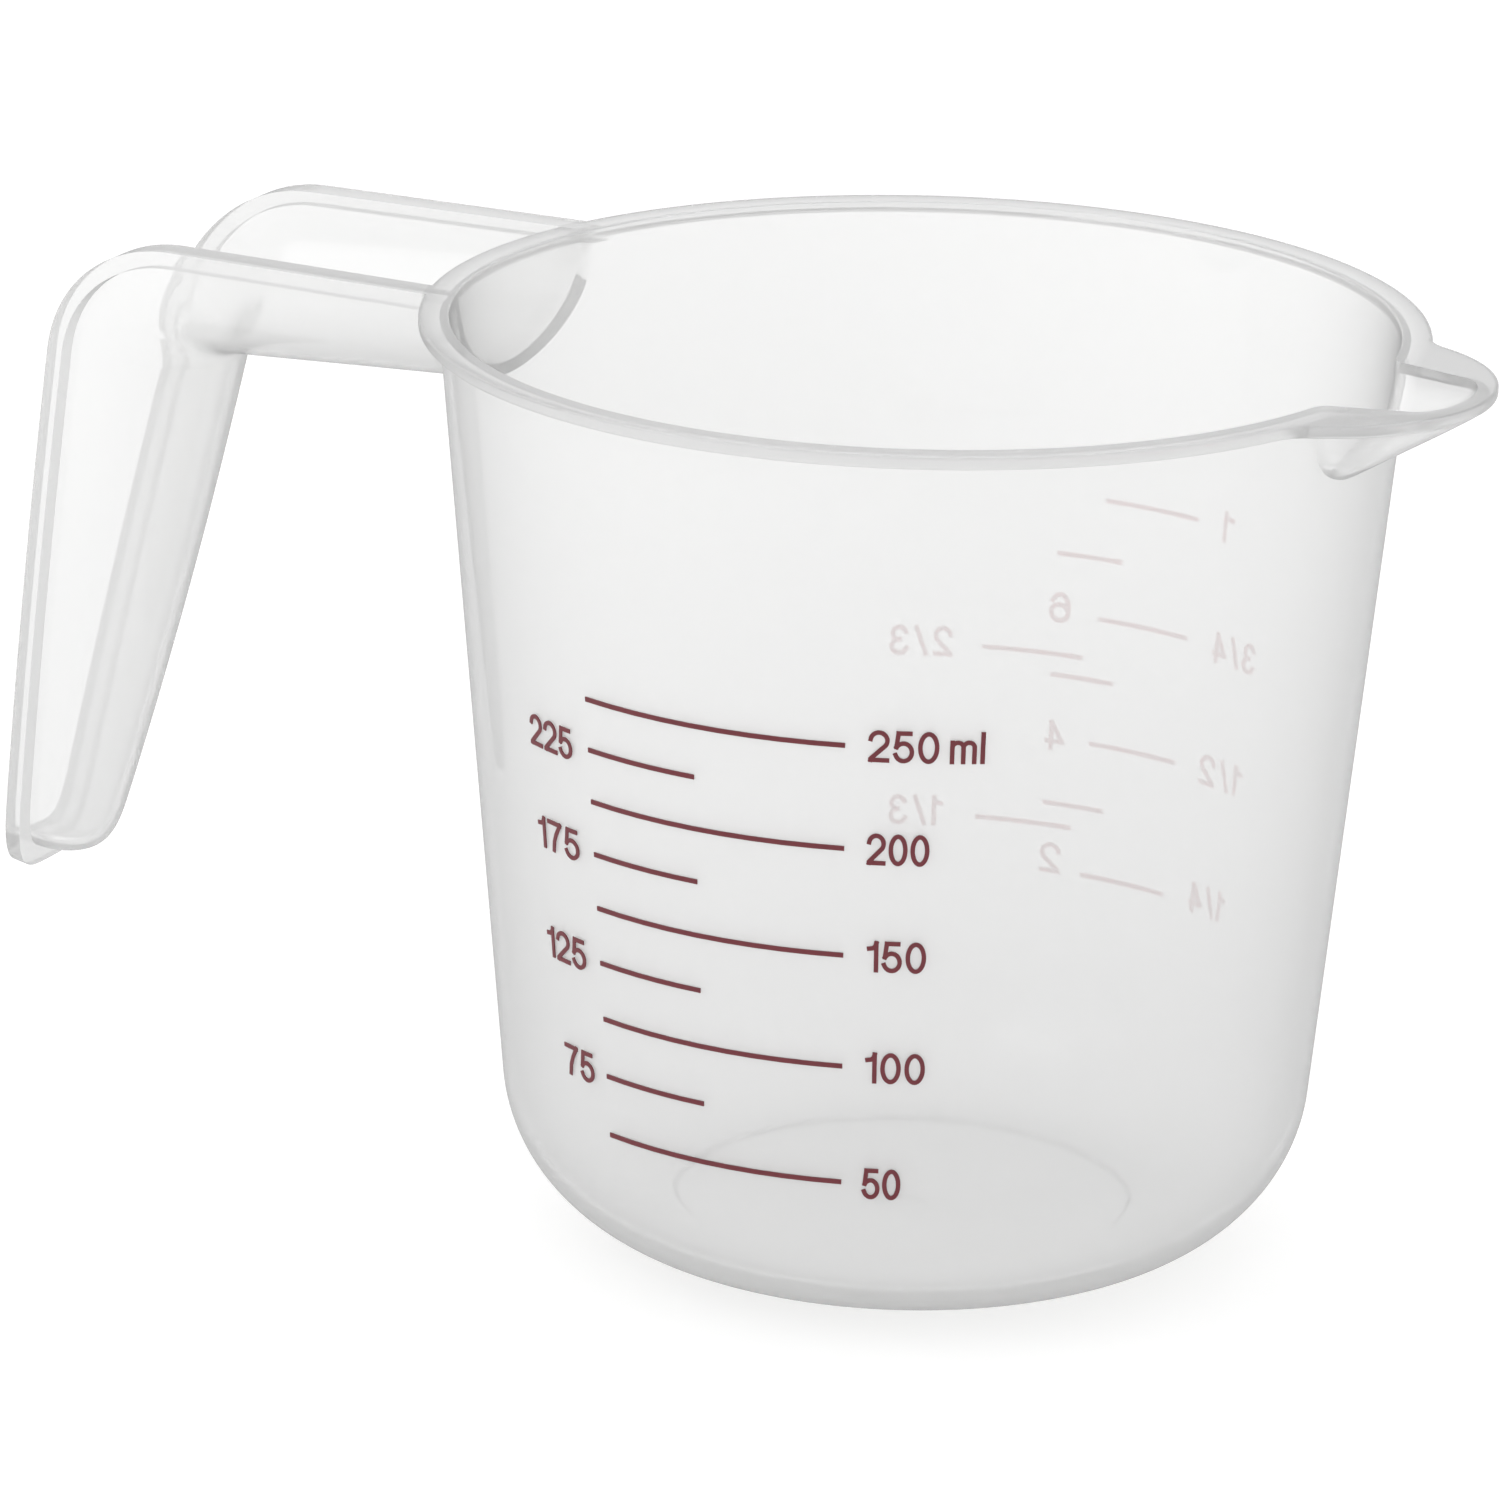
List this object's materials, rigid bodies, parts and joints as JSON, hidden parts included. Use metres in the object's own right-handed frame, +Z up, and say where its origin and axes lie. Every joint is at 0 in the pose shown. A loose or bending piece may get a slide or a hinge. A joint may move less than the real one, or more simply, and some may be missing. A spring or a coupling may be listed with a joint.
{
  "type": "measuring cup",
  "caption": "Translucent moulded measuring cup with a rounded base, a pouring spout, an open-backed channel handle and two printed volume scales.",
  "frame": {"origin": "on the cup's axis, in the plane of the flat underside that it stands on", "axes": "+Z up, +X from the axis towards the spout, so the handle lies along -X"},
  "size_m": [0.1496, 0.0922, 0.0872],
  "materials": {
    "moulding": "translucent natural polypropylene, slightly frosted, with a soft gloss",
    "ink": "thin screen-printed dark red ink"
  },
  "bodies": {
    "root": {"bowl": "moulding", "spout": "moulding", "handle": "moulding", "line_50_ml": "ink", "line_75_ml": "ink", "line_100_ml": "ink", "line_125_ml": "ink", "line_150_ml": "ink", "line_175_ml": "ink", "line_200_ml": "ink", "line_225_ml": "ink", "line_250_ml": "ink", "line_quarter_cup": "ink", "line_third_cup": "ink", "line_3_oz": "ink", "line_half_cup": "ink", "line_5_oz": "ink", "line_two_thirds_cup": "ink", "line_three_quarter_cup": "ink", "line_7_oz": "ink", "line_1_cup": "ink"}
  },
  "joints": []
}
